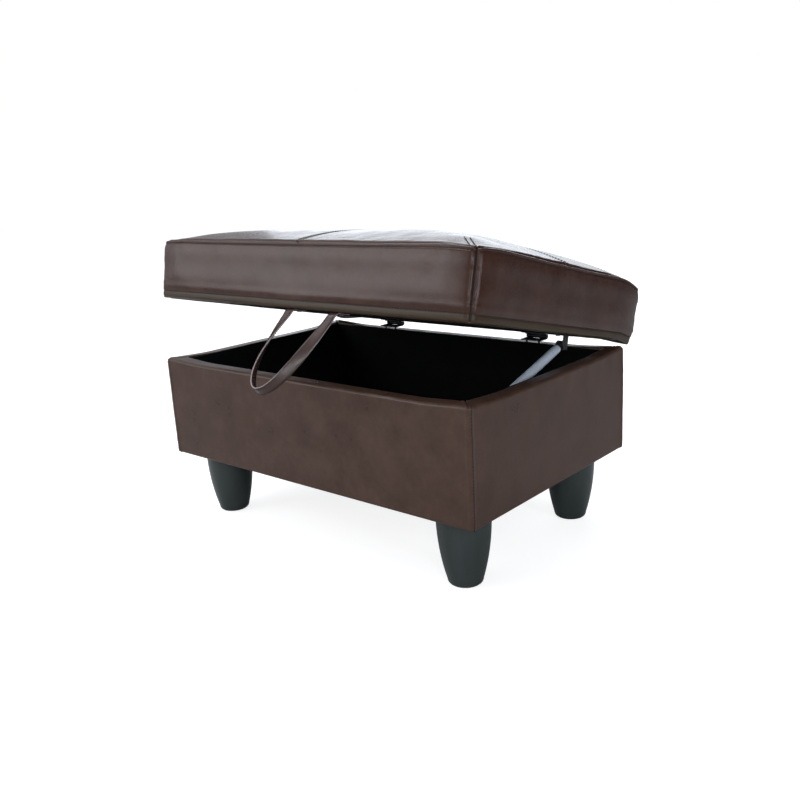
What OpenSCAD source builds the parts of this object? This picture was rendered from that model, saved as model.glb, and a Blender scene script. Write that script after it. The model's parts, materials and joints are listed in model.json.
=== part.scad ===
/* [Storage box] */
// Outer width of the upholstered box
box_w = 754; // [680:2:800]
// Outer depth of the upholstered box
box_d = 492; // [440:2:520]
// Height of the upholstered box without its legs
box_h = 200; // [180:5:240]
// Thickness of the plywood side panels
panel_t = 20; // [15:1:22]
// Thickness of the leather and its foam backing
leather_t = 3.5; // [2.5:0.5:4]
// Thickness of the leather and padding over the top of the rim
rim_pad = 8; // [6:0.5:10]
// How far the leather turns down inside the rim
rim_lip = 30; // [20:2:40]
// Thickness of the loose floor of the compartment
floor_t = 12; // [9:1:15]
// Height of the corner blocks and cleats under the floor
block_h = 28; // [22:1:34]

/* [Legs] */
// Length of a leg
leg_h = 130; // [90:5:150]
// Radius of a leg where it meets the box
leg_top_r = 46.5; // [40:0.5:48]
// Radius of a leg at the floor, before its edge is rounded
leg_foot_r = 28; // [22:0.5:34]
// How strongly a leg curves in towards the floor
leg_curve = 2.2; // [1.5:0.1:3]
// Distance from the box's outer faces to a leg's axis
leg_inset = 73; // [70:1:80]

/* [Lid] */
// Outer width of the lid
lid_w = 762; // [690:2:810]
// How far the closed lid stands out past the front of the box
front_overhang = 10; // [8:1:14]
// How far the closed lid stands out past the back of the box
rear_overhang = 19; // [14:1:22]
// Thickness of the lid at its seamed edge
lid_edge_h = 105; // [90:1:120]
// Radius of the lid's upright corners
lid_corner = 26; // [20:1:32]
// Rise of the padded top above its seamed edge
lid_crown = 20; // [10:1:26]
// Gap between the closed lid and the rim
lid_gap = 10.8; // [10:0.2:12]
// Angle at which the lid stands open
lid_angle = 13; // [5:0.5:30]
// Thickness of the board in the lid
board_t = 15; // [12:1:18]

/* [Hinges] */
// Width of a hinge
hinge_w = 46; // [40:1:60]
// Distance from the middle of the box to the middle of a hinge
hinge_x = 189; // [150:1:220]
// Radius of a hinge knuckle
knuckle_r = 4.4; // [4:0.1:4.8]

/* [Gas strut] */
// Distance from the middle of the box to the strut
strut_x = 328; // [310:1:330]
// Radius of the strut's tube
tube_r = 8; // [7:0.5:9]
// Length of the strut's tube
tube_len = 190; // [180:1:192]
// Distance between the strut's two pivots at this opening
strut_len = 255; // [250:1:265]
// Slope of the strut at this opening, in degrees
strut_slope = 16.5; // [12:0.5:20]

/* [Pull strap] */
// Width of the leather strap
strap_w = 20; // [16:1:24]
// Thickness of the folded and stitched leather strap
strap_t = 3; // [2:0.5:4]
// Distance from the middle of the lid to the middle of the strap
strap_x = 48; // [0:1:60]
// Distance from the middle of the loop to the middle of each strand
strap_half = 52; // [40:1:60]
// Reach of the loop from the edge of the lid to its far end
strap_reach = 171; // [140:1:180]
// Slope of the loop below level at this opening, in degrees
strap_slope = 41; // [35:1:50]

/* [Hidden] */
$fn = 48;
e = 0.01; // a hair of extra depth for a cut
cap_t = 1; // dust cover thickness
wrap_t = 3; // leather turned under the box
round_top = 7; // outer edge of the rim
round_in = 3; // inner edge of the rim
round_low = 6; // lower edge of the box
rim_w = panel_t + 2 * leather_t; // width of the padded rim
z0 = leg_h + cap_t; // underside of the box
z1 = z0 + box_h; // top of the rim
panel_in = leather_t + panel_t; // outer face of the box to the inner face of a panel
lining_u = rim_w + 2; // outer face of the box to the inner face of the lining
floor_z = z0 + wrap_t + block_h; // underside of the floor panel
block = 90; // side of a corner block

axis_y = box_d - 1; // hinge axis, from the front of the box
axis_z = z1 + lid_gap / 2; // hinge axis above the ground
lid_z = z1 + lid_gap; // underside of the closed lid
lid_d = box_d + front_overhang + rear_overhang;
lid_sheet = 3; // leather of the lid with its backing
lid_wrap = 18; // leather turned under the lid
wrap_lid_t = 2.5; // its thickness there
lid_round = 7; // lower edge of the lid
seam_round = 3; // seamed upper edge of the lid

leaf_t = 2; // hinge plate
leaf_d = 26; // hinge plate, front to back
pin_r = 2; // hinge pin
fit = 0.05; // running clearance on the radius
mid_w = 18; // middle knuckle
side_gap = 0.4; // between knuckles

screw_r = 1.9;
screw_hole_r = 2;
head_r = 3.8;
head_h = 1.6;
bolt_r = 4;

stud_r = 4; // stud that a strut end turns on
socket_r = 8.5; // strut end fitting
socket_half = 6; // half of its thickness
socket_len = 14; // from the pivot to the tube or the rod
tube_wall = 1.5;
rod_r = 4;
rod_len = 196;
open_gap = 0.5; // clearance at the pivot that is left open
pivot_back = 146.5; // lid pivot in front of the hinge axis, lid closed
pivot_drop = 14; // lid pivot below the hinge axis, lid closed

tab_len = 30; // strap end that lies flat under the lid
tab_edge = 6; // from the front of the lid to the strap's bend
loop_start = 22; // from the bend to the start of the loop

// Where points of the lid stand when it is open by lid_angle
function open_y(y, z) = axis_y + (y - axis_y) * cos(lid_angle) + (z - axis_z) * sin(lid_angle);
function open_z(y, z) = axis_z - (y - axis_y) * sin(lid_angle) + (z - axis_z) * cos(lid_angle);

bend_y = -front_overhang + tab_edge;
bend_z = lid_z - strap_t / 2;
bend_open = [open_y(bend_y, bend_z), open_z(bend_y, bend_z)];
strap_front = bend_open[0] - (strap_reach + strap_t / 2) * cos(strap_slope)
    - strap_w / 2 * sin(strap_slope);
top_back = open_y(box_d + rear_overhang - seam_round, lid_z + lid_edge_h - seam_round) + seam_round;
mid_y = (strap_front + top_back) / 2; // puts the origin under the middle of the whole object

lid_pivot = [axis_y - pivot_back, axis_z - pivot_drop];
pivot_open = [open_y(lid_pivot[0], lid_pivot[1]), open_z(lid_pivot[0], lid_pivot[1])];
base_pivot = [pivot_open[0] - strut_len * cos(strut_slope),
    pivot_open[1] - strut_len * sin(strut_slope)];

leather = [0.22, 0.13, 0.11];
ply = [0.76, 0.62, 0.44];
cloth = [0.03, 0.03, 0.035];
steel = [0.55, 0.56, 0.58];
black = [0.05, 0.055, 0.06];
silver = [0.75, 0.8, 0.85];

// Moves a piece from the box's own frame into the object's frame
module placed() {
    translate([0, -mid_y, 0]) children();
}

// Turns a piece of the closed lid to the angle at which the lid stands open
module lid_pose() {
    placed() translate([0, axis_y, axis_z]) rotate([-lid_angle, 0, 0])
        translate([0, -axis_y, -axis_z]) children();
}

// A block from one corner to the opposite corner
module span(a, b) {
    translate(a) cube(b - a);
}

// The sharp part of a square corner that a round edge takes away
module corner_waste(r) {
    difference() {
        translate([-e, -e]) square(r + e);
        translate([r, r]) circle(r, $fn = 64);
    }
}

// Stands children's outline up as a bar along X
module bar(len) {
    rotate([90, 0, 90]) linear_extrude(len, center = true) children();
}

// Cuts a bar's two ends to meet its neighbours at 45 degrees
module mitre(len, deep, high) {
    linear_extrude(high) polygon([[-len / 2, 0], [len / 2, 0],
        [len / 2 - deep, deep], [-len / 2 + deep, deep]]);
}

// Puts a front piece on one of four sides: 0 front, 1 right, 2 back, 3 left
module on_side(side, w, d, front) {
    translate([0, front + d / 2, 0]) rotate([0, 0, 90 * side])
        translate([0, side % 2 == 0 ? -d / 2 : -w / 2, 0]) children();
}

// Outline across one leather side of the box
module cover_outline() {
    difference() {
        square([rim_w, box_h]);
        translate([leather_t, wrap_t]) square([panel_t, box_h - wrap_t - rim_pad]);
        translate([panel_in - e, wrap_t]) square([leather_t + 1, box_h - wrap_t - rim_lip]);
        corner_waste(round_low);
        translate([0, box_h]) mirror([0, 1]) corner_waste(round_top);
        translate([rim_w, box_h]) rotate(180) corner_waste(round_in);
    }
}

// One leather side of the box
module box_cover(side) {
    len = side % 2 == 0 ? box_w : box_d;
    color(leather) placed() on_side(side, box_w, box_d, 0) translate([0, 0, z0]) intersection() {
        bar(len) cover_outline();
        mitre(len, rim_w, box_h);
    }
}

// Screw places of the hinges, the brackets and the strap, looking down
hinge_spots = [for (s = [-1, 1], k = [-1, 1]) [s * hinge_x + k * 14, axis_y - 17]];
strut_spots = [for (k = [-1, 1]) [strut_x, lid_pivot[0] + k * 14]];
strap_spots = [for (k = [-1, 1]) [strap_x + k * strap_half, bend_y + 20]];
leg_spots = [for (k = [-1, 1], v = [leg_inset, box_d - leg_inset])
    [k * (box_w / 2 - leg_inset), v]];

// A round cutter or rod at each of a list of places
module at_spots(spots, r, low, high) {
    for (p = spots)
        translate([p[0], p[1], low]) cylinder(h = high - low, r = r);
}

// Pan-head screws; up is 1 when the head is on top and -1 when it is below
module screws(spots, face, len, up) {
    for (p = spots)
        translate([p[0], p[1], face]) mirror([0, 0, up > 0 ? 0 : 1]) {
            cylinder(h = head_h, r = head_r);
            translate([0, 0, -len]) cylinder(h = len + e, r = screw_r);
        }
}

module panel_front() {
    color(ply) placed() span([-box_w / 2 + leather_t, leather_t, z0 + wrap_t],
        [box_w / 2 - leather_t, panel_in, z1 - rim_pad]);
}

module panel_back() {
    color(ply) placed() difference() {
        span([-box_w / 2 + leather_t, box_d - panel_in, z0 + wrap_t],
            [box_w / 2 - leather_t, box_d - leather_t, z1 - rim_pad]);
        at_spots(hinge_spots, screw_hole_r, z1 - 22, z1);
    }
}

module side_panel(s) {
    color(ply) placed() difference() {
        span([s > 0 ? box_w / 2 - panel_in : -box_w / 2 + leather_t, panel_in, z0 + wrap_t],
            [s > 0 ? box_w / 2 - leather_t : -box_w / 2 + panel_in, box_d - panel_in,
            z1 - rim_pad]);
        if (s > 0)
            bracket_holes(18);
    }
}

module panel_left() { side_panel(-1); }
module panel_right() { side_panel(1); }

module corner_blocks() {
    color(ply) placed() for (k = [-1, 1], m = [0, 1]) difference() {
        translate([k * (box_w / 2 - panel_in - block / 2),
            m * box_d + (1 - 2 * m) * (panel_in + block / 2), z0 + wrap_t + block_h / 2])
            cube([block, block, block_h], center = true);
        at_spots(leg_spots, 5.5, z0, floor_z + e);
        at_spots(leg_spots, 10.5, floor_z - 1.5, floor_z + e);
    }
}

module cleats_long() {
    half = box_w / 2 - panel_in - block - 1;
    color(ply) placed() for (y = [panel_in, box_d - panel_in - 20])
        span([-half, y, z0 + wrap_t], [half, y + 20, floor_z]);
}

module cleats_short() {
    color(ply) placed() for (x = [-box_w / 2 + panel_in, box_w / 2 - panel_in - 20])
        span([x, panel_in + block + 1, z0 + wrap_t],
            [x + 20, box_d - panel_in - block - 1, floor_z]);
}

module floor_panel() {
    color(ply) placed() span([-box_w / 2 + panel_in, panel_in, floor_z],
        [box_w / 2 - panel_in, box_d - panel_in, floor_z + floor_t]);
}

module cover_front() { box_cover(0); }
module cover_right() { box_cover(1); }
module cover_left() { box_cover(3); }
module cover_back() {
    difference() {
        box_cover(2);
        color(leather) placed() at_spots(hinge_spots, screw_hole_r, z1 - 22, z1 + 1);
    }
}

// Black lining on one wall: thicker below the leather that turns down inside the rim
module wall_lining(side, low_len, high_len) {
    low = floor_z + floor_t;
    step = z1 - rim_lip - 0.3;
    color(cloth) placed() on_side(side, box_w, box_d, 0) {
        span([-low_len / 2, panel_in, low], [low_len / 2, lining_u, step]);
        span([-high_len / 2, rim_w, step - e], [high_len / 2, lining_u, z1 - 4]);
    }
}

module lining_front() { wall_lining(0, box_w - 2 * panel_in, box_w - 2 * rim_w); }
module lining_back() { wall_lining(2, box_w - 2 * panel_in, box_w - 2 * rim_w); }
module lining_left() { wall_lining(3, box_d - 2 * lining_u, box_d - 2 * lining_u); }
module lining_right() {
    difference() {
        wall_lining(1, box_d - 2 * lining_u, box_d - 2 * lining_u);
        color(cloth) placed() bracket_holes(18);
    }
}

module lining_floor() {
    color(cloth) placed() span([-box_w / 2 + lining_u, lining_u, floor_z + floor_t],
        [box_w / 2 - lining_u, box_d - lining_u, floor_z + floor_t + 1.5]);
}

module dust_cover() {
    color(cloth) placed() difference() {
        span([-box_w / 2 + 14, 14, z0 - cap_t], [box_w / 2 - 14, box_d - 14, z0]);
        at_spots(leg_spots, bolt_r + 0.5, z0 - 2, z0 + 1);
    }
}

// Radius of a leg at height z
foot_round = 9;
function leg_r(z) = leg_top_r - (leg_top_r - leg_foot_r) * pow(1 - z / leg_h, leg_curve);
function leg_outline() = concat(
    [for (a = [-90 : 15 : 0]) [leg_r(foot_round) - foot_round + foot_round * cos(a),
        foot_round + foot_round * sin(a)]],
    [for (k = [1 : 12]) [leg_r(foot_round + (leg_h - foot_round) * k / 12),
        foot_round + (leg_h - foot_round) * k / 12]]);

module leg(spot) {
    color(black) placed() translate([spot[0], spot[1], 0]) difference() {
        rotate_extrude($fn = 72) polygon(concat([[0, 0]], leg_outline(), [[0, leg_h]]));
        translate([0, 0, leg_h - 36]) cylinder(h = 37, r = bolt_r + 0.02);
    }
}

module leg_front_left() { leg(leg_spots[0]); }
module leg_rear_left() { leg(leg_spots[1]); }
module leg_front_right() { leg(leg_spots[2]); }
module leg_rear_right() { leg(leg_spots[3]); }

module hanger_bolts() {
    color(steel) placed() at_spots(leg_spots, bolt_r, leg_h - 35, floor_z - 4);
}

module tee_nuts() {
    color(steel) placed() difference() {
        union() {
            at_spots(leg_spots, 10, floor_z - 1.5, floor_z);
            at_spots(leg_spots, 5.4, floor_z - 12, floor_z - 1);
        }
        at_spots(leg_spots, bolt_r + 0.05, floor_z - 13, floor_z + 1);
    }
}

// A knuckle of one hinge, from x = from to x = to
module knuckle(from, to) {
    translate([from, axis_y, axis_z]) rotate([0, 90, 0]) cylinder(h = to - from, r = knuckle_r);
}

// Takes the pin's way out of a hinge leaf
module pin_way(clear) {
    translate([-hinge_w, axis_y, axis_z]) rotate([0, 90, 0])
        cylinder(h = 2 * hinge_w, r = pin_r + clear);
}

module hinge_base_leaf(s) {
    half = hinge_w / 2;
    color(steel) placed() difference() {
        translate([s * hinge_x, 0, 0]) difference() {
            union() {
                span([-half, axis_y - leaf_d, z1], [half, axis_y, z1 + leaf_t]);
                knuckle(-half, -mid_w / 2);
                knuckle(mid_w / 2, half);
            }
            span([-mid_w / 2 - 0.2, axis_y - 6, z1 - 1], [mid_w / 2 + 0.2, axis_y + 6, z1 + 12]);
            pin_way(0);
        }
        at_spots(hinge_spots, screw_hole_r, z1 - 1, z1 + leaf_t + 1);
    }
}

module hinge_lid_leaf(s) {
    half = hinge_w / 2;
    tongue = mid_w / 2 - side_gap;
    color(steel) lid_pose() difference() {
        translate([s * hinge_x, 0, 0]) difference() {
            union() {
                span([-half, axis_y - leaf_d, lid_z - leaf_t], [half, axis_y - 6, lid_z]);
                span([-tongue, axis_y - 7, lid_z - leaf_t], [tongue, axis_y, lid_z]);
                knuckle(-tongue, tongue);
            }
            pin_way(fit);
        }
        at_spots(hinge_spots, screw_hole_r, lid_z - leaf_t - 1, lid_z + 1);
    }
}

module hinge_pin(s) {
    color(steel) placed() translate([s * hinge_x - hinge_w / 2 - 0.5, axis_y, axis_z])
        rotate([0, 90, 0]) cylinder(h = hinge_w + 1, r = pin_r);
}

module hinge_base_leaf_left() { hinge_base_leaf(-1); }
module hinge_base_leaf_right() { hinge_base_leaf(1); }
module hinge_lid_leaf_left() { hinge_lid_leaf(-1); }
module hinge_lid_leaf_right() { hinge_lid_leaf(1); }
module hinge_pin_left() { hinge_pin(-1); }
module hinge_pin_right() { hinge_pin(1); }

module base_hinge_screws() {
    color(steel) placed() screws(hinge_spots, z1 + leaf_t, 20, 1);
}

module lid_hinge_screws() {
    color(steel) lid_pose() screws(hinge_spots, lid_z - leaf_t, 14, -1);
}

// Every screw hole in the underside of the lid
module lid_holes() {
    at_spots(concat(hinge_spots, strut_spots, strap_spots), screw_hole_r, lid_z - 1, lid_z + 14);
}

// Block the shape of the lid in plan, inset from its outer faces
module lid_block(inset, low, high) {
    r = lid_corner - inset;
    w = lid_w / 2 - inset;
    d = lid_d / 2 - inset;
    translate([0, -front_overhang + lid_d / 2, 0]) {
        span([-w + r, -d, low], [w - r, d, high]);
        span([-w, -d + r, low], [w, d - r, high]);
        for (x = [-w + r, w - r], y = [-d + r, d - r])
            translate([x, y, low]) cylinder(h = high - low, r = r, $fn = 96);
    }
}

module lid_board() {
    low = lid_z + wrap_lid_t;
    color(ply) lid_pose() difference() {
        lid_block(lid_sheet + 0.2, low, low + board_t);
        lid_holes();
    }
}

// Block whose top rises by lid_crown from straight edges at height top
module crowned(low, top, inset) {
    half_w = lid_w / 2 - inset;
    half_d = lid_d / 2 - inset;
    arch_w = (half_w * half_w + lid_crown * lid_crown) / (2 * lid_crown);
    arch_d = (half_d * half_d + lid_crown * lid_crown) / (2 * lid_crown);
    intersection() {
        lid_block(inset, low, top + lid_crown + 1);
        translate([0, -front_overhang + lid_d / 2, 0]) intersection() {
            translate([0, half_d + 1, top + lid_crown - arch_w]) rotate([90, 0, 0])
                cylinder(h = 2 * half_d + 2, r = arch_w, $fn = 720);
            translate([-half_w - 1, 0, top + lid_crown - arch_d]) rotate([0, 90, 0])
                cylinder(h = 2 * half_w + 2, r = arch_d, $fn = 720);
        }
    }
}

module lid_foam() {
    color([0.9, 0.86, 0.7]) lid_pose()
        crowned(lid_z + wrap_lid_t + board_t, lid_z + lid_edge_h - lid_sheet - 1, lid_sheet + 1);
}

// One quarter of the leather top: sx and sy choose the side
module lid_top(sx, sy) {
    mid = -front_overhang + lid_d / 2;
    far_x = sx * (lid_w / 2 - lid_sheet);
    far_y = mid + sy * (lid_d / 2 - lid_sheet);
    color(leather) lid_pose() intersection() {
        difference() {
            crowned(lid_z + lid_edge_h - lid_sheet, lid_z + lid_edge_h, lid_sheet);
            crowned(lid_z, lid_z + lid_edge_h - lid_sheet - e, lid_sheet - 1);
        }
        span([min(0, far_x), min(mid, far_y), lid_z],
            [max(0, far_x), max(mid, far_y), lid_z + lid_edge_h + lid_crown + 2]);
    }
}

module lid_top_front_left() { lid_top(-1, -1); }
module lid_top_front_right() { lid_top(1, -1); }
module lid_top_rear_left() { lid_top(-1, 1); }
module lid_top_rear_right() { lid_top(1, 1); }

// Outline across one leather border of the lid
module border_outline() {
    difference() {
        square([lid_wrap, lid_edge_h]);
        translate([lid_sheet, wrap_lid_t]) square([lid_wrap, lid_edge_h]);
        corner_waste(lid_round);
        translate([0, lid_edge_h]) mirror([0, 1]) corner_waste(seam_round);
    }
}

// The straight run of a border ends half-way round each of the lid's corners
module lid_border(side) {
    run = (side % 2 == 0 ? lid_w : lid_d) - 2 * lid_corner;
    color(leather) lid_pose() on_side(side, lid_w, lid_d, -front_overhang)
        translate([0, 0, lid_z]) {
            bar(run) border_outline();
            for (k = [0, 1]) mirror([k, 0, 0]) translate([run / 2, lid_corner, 0])
                rotate([0, 0, -90]) rotate_extrude(angle = 45, $fn = 96)
                    translate([lid_corner, 0]) mirror([1, 0]) border_outline();
        }
}

module lid_border_front() { lid_border(0); }
module lid_border_right() { lid_border(1); }
module lid_border_back() { lid_border(2); }
module lid_border_left() { lid_border(3); }

module lid_lining() {
    color(cloth) lid_pose() difference() {
        lid_block(lid_wrap, lid_z, lid_z + wrap_lid_t);
        lid_holes();
    }
}

// Two screw holes of the bracket on the right wall, as deep as depth
bracket_face = box_w / 2 - lining_u;
bracket_spots = [for (k = [-1, 1]) [base_pivot[0] + k * 17, base_pivot[1]]];
module bracket_holes(depth) {
    for (p = bracket_spots)
        translate([bracket_face - 5, p[0], p[1]]) rotate([0, 90, 0])
            cylinder(h = depth + 5, r = screw_hole_r);
}

module strut_base_bracket() {
    tip = strut_x + socket_half + open_gap;
    color(black) placed() difference() {
        union() {
            span([bracket_face - 3, base_pivot[0] - 26, base_pivot[1] - 11],
                [bracket_face, base_pivot[0] + 26, base_pivot[1] + 11]);
            translate([tip, base_pivot[0], base_pivot[1]]) rotate([0, 90, 0])
                cylinder(h = bracket_face - tip, r = stud_r);
        }
        bracket_holes(18);
    }
}

module strut_bracket_screws() {
    color(steel) placed() for (p = bracket_spots)
        translate([bracket_face - 3, p[0], p[1]]) rotate([0, -90, 0]) {
            cylinder(h = head_h, r = head_r);
            translate([0, 0, -18]) cylinder(h = 18 + e, r = screw_r);
        }
}

module strut_lid_bracket() {
    ear = strut_x + socket_half + 1;
    color(black) lid_pose() difference() {
        union() {
            span([strut_x - 11, lid_pivot[0] - 22, lid_z - leaf_t],
                [ear + 3, lid_pivot[0] + 22, lid_z]);
            span([ear, lid_pivot[0] - 7, lid_pivot[1] - 7], [ear + 3, lid_pivot[0] + 7, lid_z]);
            translate([strut_x - socket_half - 1, lid_pivot[0], lid_pivot[1]])
                rotate([0, 90, 0]) cylinder(h = ear + 3 - strut_x + socket_half + 1, r = stud_r);
        }
        at_spots(strut_spots, screw_hole_r, lid_z - leaf_t - 1, lid_z + 1);
    }
}

module strut_lid_screws() {
    color(steel) lid_pose() screws(strut_spots, lid_z - leaf_t, 13, -1);
}

// Lays a piece drawn along +Z from the lid pivot down the strut's line
module strut_line() {
    placed() translate([strut_x, pivot_open[0], pivot_open[1]])
        rotate([90 + strut_slope, 0, 0]) children();
}

// An end fitting with a cross bore, its neck pointing to z = len
module socket(len, bore) {
    difference() {
        union() {
            rotate([0, 90, 0]) cylinder(h = 2 * socket_half, r = socket_r, center = true);
            cylinder(h = len, r = 5);
        }
        rotate([0, 90, 0]) cylinder(h = 2 * socket_half + 2, r = bore, center = true);
    }
}

module strut_lid_socket() {
    color(black) strut_line() socket(socket_len, stud_r + fit);
}

module strut_tube() {
    color(silver) strut_line() translate([0, 0, socket_len]) difference() {
        cylinder(h = tube_len, r = tube_r);
        translate([0, 0, 3]) cylinder(h = tube_len, r = tube_r - tube_wall);
    }
}

module strut_gland() {
    color(black) strut_line() translate([0, 0, socket_len + tube_len - 8]) difference() {
        union() {
            cylinder(h = 8, r = tube_r - tube_wall);
            translate([0, 0, 8]) cylinder(h = 1.5, r = tube_r - 1);
        }
        translate([0, 0, -1]) cylinder(h = 12, r = rod_r + fit);
    }
}

module strut_rod() {
    color(silver) strut_line() translate([0, 0, strut_len - socket_len + 4 - rod_len])
        cylinder(h = rod_len, r = rod_r);
}

module strut_piston() {
    color(steel) strut_line() translate([0, 0, strut_len - socket_len + 4 - rod_len])
        difference() {
            cylinder(h = 6, r = tube_r - tube_wall - 0.08);
            translate([0, 0, -1]) cylinder(h = 8, r = rod_r);
        }
}

module strut_base_socket() {
    color(black) strut_line() translate([0, 0, strut_len]) mirror([0, 0, 1]) difference() {
        socket(socket_len, stud_r + 0.2);
        translate([0, 0, socket_len - 4]) cylinder(h = 5, r = rod_r);
    }
}

module strap_ends() {
    color(leather) lid_pose() difference() {
        for (k = [-1, 1]) translate([strap_x + k * strap_half, 0, 0]) {
            span([-strap_w / 2, bend_y, lid_z - strap_t],
                [strap_w / 2, bend_y + tab_len, lid_z]);
            translate([-strap_w / 2, bend_y, lid_z - strap_t / 2]) rotate([0, 90, 0])
                cylinder(h = strap_w, r = strap_t / 2);
        }
        at_spots(strap_spots, screw_hole_r, lid_z - strap_t - 1, lid_z + 1);
    }
}

module strap_screws() {
    color(steel) lid_pose() screws(strap_spots, lid_z - strap_t, 13, -1);
}

// Draws in the plane of the loop: X across, Y down the loop, Z through the strap's width
module loop_plane() {
    placed() translate([strap_x, bend_open[0], bend_open[1]])
        rotate([180 + strap_slope, 0, 0]) children();
}

// Flat outline of the loop: two strands and a round end, strap_t thick
module loop_outline() {
    turn = strap_half;
    mid = strap_reach - turn;
    difference() {
        union() {
            translate([0, mid]) circle(turn + strap_t / 2, $fn = 96);
            translate([-turn - strap_t / 2, loop_start]) square([2 * turn + strap_t, mid - loop_start]);
        }
        translate([0, mid]) circle(turn - strap_t / 2, $fn = 96);
        translate([-turn + strap_t / 2, loop_start - 1])
            square([2 * turn - strap_t, mid - loop_start + 1]);
    }
}

module strap_loop() {
    tongue_start = strap_t / 2 + 0.4;
    color(leather) loop_plane() {
        linear_extrude(strap_w, center = true) loop_outline();
        for (k = [-1, 1])
            span([k * strap_half - strap_w / 2, tongue_start, -strap_t / 2],
                [k * strap_half + strap_w / 2, loop_start + 8, strap_t / 2]);
    }
}

panel_front();
panel_back();
panel_left();
panel_right();
corner_blocks();
cleats_long();
cleats_short();
floor_panel();
cover_front();
cover_back();
cover_left();
cover_right();
lining_front();
lining_back();
lining_left();
lining_right();
lining_floor();
dust_cover();
leg_front_left();
leg_front_right();
leg_rear_left();
leg_rear_right();
hanger_bolts();
tee_nuts();
hinge_base_leaf_left();
hinge_base_leaf_right();
hinge_lid_leaf_left();
hinge_lid_leaf_right();
hinge_pin_left();
hinge_pin_right();
base_hinge_screws();
lid_hinge_screws();
lid_board();
lid_foam();
lid_top_front_left();
lid_top_front_right();
lid_top_rear_left();
lid_top_rear_right();
lid_border_front();
lid_border_back();
lid_border_left();
lid_border_right();
lid_lining();
strut_base_bracket();
strut_lid_bracket();
strut_bracket_screws();
strut_lid_screws();
strut_tube();
strut_gland();
strut_lid_socket();
strut_rod();
strut_piston();
strut_base_socket();
strap_ends();
strap_screws();
strap_loop();
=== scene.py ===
import bpy
import json
import math
import numpy as np
from mathutils import Matrix, Vector
from mathutils.bvhtree import BVHTree


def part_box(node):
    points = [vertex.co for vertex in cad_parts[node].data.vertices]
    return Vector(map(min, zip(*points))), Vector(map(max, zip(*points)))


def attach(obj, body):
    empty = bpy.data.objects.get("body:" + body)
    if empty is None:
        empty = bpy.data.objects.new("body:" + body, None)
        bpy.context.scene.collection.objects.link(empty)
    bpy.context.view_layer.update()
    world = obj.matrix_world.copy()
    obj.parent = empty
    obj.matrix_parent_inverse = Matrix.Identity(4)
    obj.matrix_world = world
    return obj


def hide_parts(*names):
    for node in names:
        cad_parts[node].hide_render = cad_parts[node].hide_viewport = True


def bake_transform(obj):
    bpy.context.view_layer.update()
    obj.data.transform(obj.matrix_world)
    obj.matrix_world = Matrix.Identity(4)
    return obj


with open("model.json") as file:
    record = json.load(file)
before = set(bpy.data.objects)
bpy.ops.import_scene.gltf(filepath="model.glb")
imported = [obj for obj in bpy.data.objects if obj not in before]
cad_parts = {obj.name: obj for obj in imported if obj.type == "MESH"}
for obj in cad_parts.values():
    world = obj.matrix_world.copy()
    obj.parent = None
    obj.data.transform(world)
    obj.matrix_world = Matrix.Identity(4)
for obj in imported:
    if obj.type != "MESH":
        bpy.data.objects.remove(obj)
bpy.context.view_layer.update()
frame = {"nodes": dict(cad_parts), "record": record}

# ---------------------------------------------------------------- measures, in metres
BOX_W, BOX_D, BOX_H = 0.754, 0.492, 0.200
LID_W, LID_D, LID_H = 0.762, 0.521, 0.105
OVERHANG = 0.010      # the lid's front edge past the box's
GAP = 0.0108          # between the box's rim and the closed lid
HINGE_BACK = 0.491    # from the box's front to the hinge's axis
FRONT_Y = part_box("cover_front")[0].y
Z0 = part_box("cover_front")[0].z
Z1 = Z0 + BOX_H
AXIS_Y, AXIS_Z = FRONT_Y + HINGE_BACK, Z1 + GAP / 2
LID_Z = Z1 + GAP
LID_ANGLE = math.radians(13)
LID_MID_Y = FRONT_Y - OVERHANG + LID_D / 2


def lid_pose(co):
    """Turns points of the closed lid to the angle at which it stands open."""
    co = np.array(co, float).reshape(-1, 3)
    dy, dz = co[:, 1] - AXIS_Y, co[:, 2] - AXIS_Z
    c, s = math.cos(LID_ANGLE), math.sin(LID_ANGLE)
    return np.column_stack([co[:, 0], AXIS_Y + dy * c + dz * s, AXIS_Z - dy * s + dz * c])


# ---------------------------------------------------------------- small helpers
def hashed(i, seed):
    """A number from -1 to 1 for each whole-numbered cell, the same on every run."""
    h = (i[:, 0] * 73856093) ^ (i[:, 1] * 19349663) ^ (i[:, 2] * 83492791) ^ (seed * 2654435761)
    h = (h ^ (h >> 13)) & 0xFFFFFFFF
    h = (h * 1274126177) & 0xFFFFFFFF
    h = h ^ (h >> 16)
    return (h & 0xFFFF) / 32767.5 - 1.0


def noise(p, scale, seed=1):
    """Smooth value noise from -1 to 1."""
    q = np.asarray(p, float) * scale + 1000.0
    base = np.floor(q).astype(np.int64)
    f = q - base
    f = f * f * (3 - 2 * f)
    out = np.zeros(len(q))
    for dx in (0, 1):
        for dy in (0, 1):
            for dz in (0, 1):
                w = (f[:, 0] if dx else 1 - f[:, 0]) * (f[:, 1] if dy else 1 - f[:, 1]) \
                    * (f[:, 2] if dz else 1 - f[:, 2])
                out += w * hashed(base + np.array([dx, dy, dz]), seed)
    return out


def smooth01(t):
    t = np.clip(t, 0, 1)
    return t * t * (3 - 2 * t)


def make(name, co, faces, material=None, smooth=True):
    mesh = bpy.data.meshes.new(name)
    mesh.from_pydata([tuple(c) for c in co], [], [tuple(int(i) for i in f) for f in faces])
    mesh.update()
    if smooth:
        mesh.polygons.foreach_set("use_smooth", [True] * len(mesh.polygons))
    obj = bpy.data.objects.new(name, mesh)
    bpy.context.scene.collection.objects.link(obj)
    if material:
        mesh.materials.append(material)
    return obj


def coords(obj):
    co = np.zeros(len(obj.data.vertices) * 3)
    obj.data.vertices.foreach_get("co", co)
    return co.reshape(-1, 3)


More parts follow.
